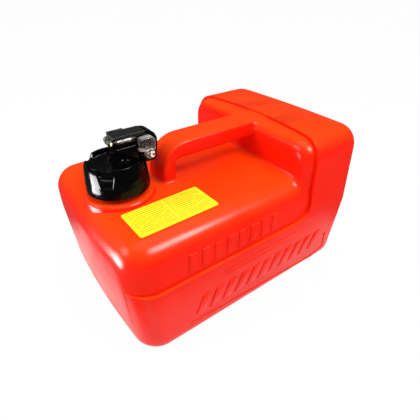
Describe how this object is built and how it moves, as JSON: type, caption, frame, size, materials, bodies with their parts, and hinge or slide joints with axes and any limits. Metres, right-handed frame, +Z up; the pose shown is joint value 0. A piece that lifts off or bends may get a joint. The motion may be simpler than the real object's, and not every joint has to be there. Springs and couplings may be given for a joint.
{
  "type": "outboard fuel tank",
  "caption": "Portable red outboard fuel tank with a moulded carry handle, and a black screw cap with hose outlet, latch, vent and level gauge.",
  "frame": {"origin": "middle of the footprint, on the surface that the tank stands on", "axes": "+X along the tank from the cap end to the tall end, +Z up, -Y the side with the label"},
  "size_m": [0.355, 0.254, 0.2301],
  "materials": {
    "tank_red": "semi-gloss moulded polyethylene",
    "label_yellow": "printed vinyl",
    "cap_black": "gloss",
    "latch_black": "satin",
    "rubber_black": "matte",
    "brass": "polished",
    "spring_steel": "bright",
    "chrome": "polished",
    "aluminium": "satin",
    "clear_plastic": "clear",
    "white_plastic": "satin",
    "float_orange": "matte foam"
  },
  "bodies": {
    "tank": {"tank_body": "tank_red", "label_plate": "label_yellow"},
    "cap": {"cap_head": "cap_black", "cap_gasket": "rubber_black", "latch_pin": "brass", "latch_spring": "spring_steel", "outlet_nipple": "chrome", "outlet_seal": "rubber_black", "valve_spring": "spring_steel", "gauge_housing": "cap_black", "gauge_lens": "clear_plastic", "float_guide": "aluminium", "float_foot": "latch_black", "pickup_pipe": "aluminium", "pickup_strainer": "white_plastic"},
    "ring": {"cap_ring": "cap_black"},
    "latch": {"latch_lever": "latch_black"},
    "valve": {"check_valve": "brass"},
    "vent": {"vent_screw": "cap_black", "vent_seal": "rubber_black"},
    "float": {"fuel_float": "float_orange"},
    "strip": {"gauge_strip": "aluminium", "gauge_crank": "brass"},
    "link": {"gauge_link": "spring_steel"},
    "drum": {"gauge_drum": "white_plastic"}
  },
  "joints": [
    {"name": "cap_lift", "type": "slide", "parent": "tank", "child": "cap", "axis": [0, 0, 1], "range_m": [0, 0.19]},
    {"name": "ring_turn", "type": "hinge", "parent": "cap", "child": "ring", "pos_m": [-0.124, -0.003, 0.19], "axis": [0, 0, 1], "range_deg": [0, 450]},
    {"name": "latch_tilt", "type": "hinge", "parent": "cap", "child": "latch", "pos_m": [-0.112, -0.011, 0.2244], "axis": [1, 0, 0], "range_deg": [0, 18], "stiffness_Nm_per_rad": 0.2, "deforming": ["latch_spring"]},
    {"name": "valve_push", "type": "slide", "parent": "cap", "child": "valve", "axis": [0, -1, 0], "range_m": [0, 0.002], "stiffness_N_per_m": 400, "deforming": ["valve_spring"]},
    {"name": "vent_turn", "type": "hinge", "parent": "cap", "child": "vent", "pos_m": [-0.12, -0.0224, 0.204], "axis": [0, 0, 1], "range_deg": [0, 360]},
    {"name": "float_rise", "type": "slide", "parent": "cap", "child": "float", "axis": [0, 0, 1], "range_m": [0, 0.12]},
    {"name": "strip_turn", "type": "hinge", "parent": "cap", "child": "strip", "pos_m": [-0.106, -0.003, 0.1], "axis": [0, 0, 1], "range_deg": [0, 90]},
    {"name": "link_turn", "type": "hinge", "parent": "strip", "child": "link", "pos_m": [-0.10377, 0.00032, 0.2098], "axis": [0, 0, 1], "range_deg": [-90, 0]},
    {"name": "drum_turn", "type": "hinge", "parent": "cap", "child": "drum", "pos_m": [-0.0805, 0.002, 0.2], "axis": [0, 0, 1], "range_deg": [0, 90]}
  ],
  "couplings": [
    {"joint": "strip_turn", "follows": "float_rise", "rad_per_m": 13},
    {"joint": "link_turn", "follows": "float_rise", "rad_per_m": -13},
    {"joint": "drum_turn", "follows": "float_rise", "rad_per_m": 13}
  ]
}
